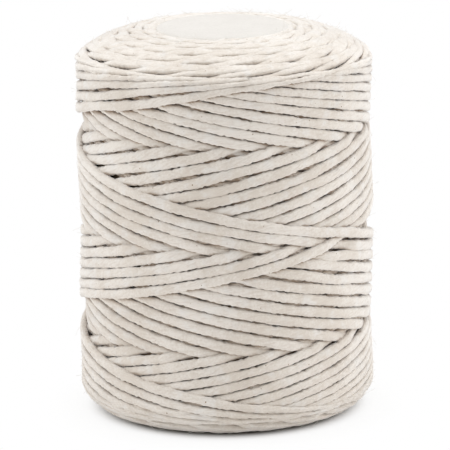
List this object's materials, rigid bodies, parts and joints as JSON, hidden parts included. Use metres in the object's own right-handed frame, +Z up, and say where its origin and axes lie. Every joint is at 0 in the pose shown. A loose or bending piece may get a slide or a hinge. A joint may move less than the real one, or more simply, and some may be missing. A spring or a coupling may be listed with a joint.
{
  "type": "cotton cord spool",
  "caption": "Barrel of soft cotton cord, cross-wound on a board tube, with a blank paper disc over the tube's upper end.",
  "frame": {"origin": "centre of the base that the spool stands on", "axes": "+Z up the tube's axis, towards the paper disc; -Y is the front"},
  "size_m": [0.0896, 0.0896, 0.117],
  "materials": {
    "cotton_cord": "matt, soft twisted cotton",
    "tube_board": "matt grey-brown board",
    "tube_liner": "matt smooth paper",
    "label_paper": "matt uncoated paper"
  },
  "bodies": {
    "root": {"core_liner": "tube_liner", "core_tube": "tube_board", "inner_winding": "cotton_cord", "outer_winding": "cotton_cord", "top_label": "label_paper"}
  },
  "joints": []
}
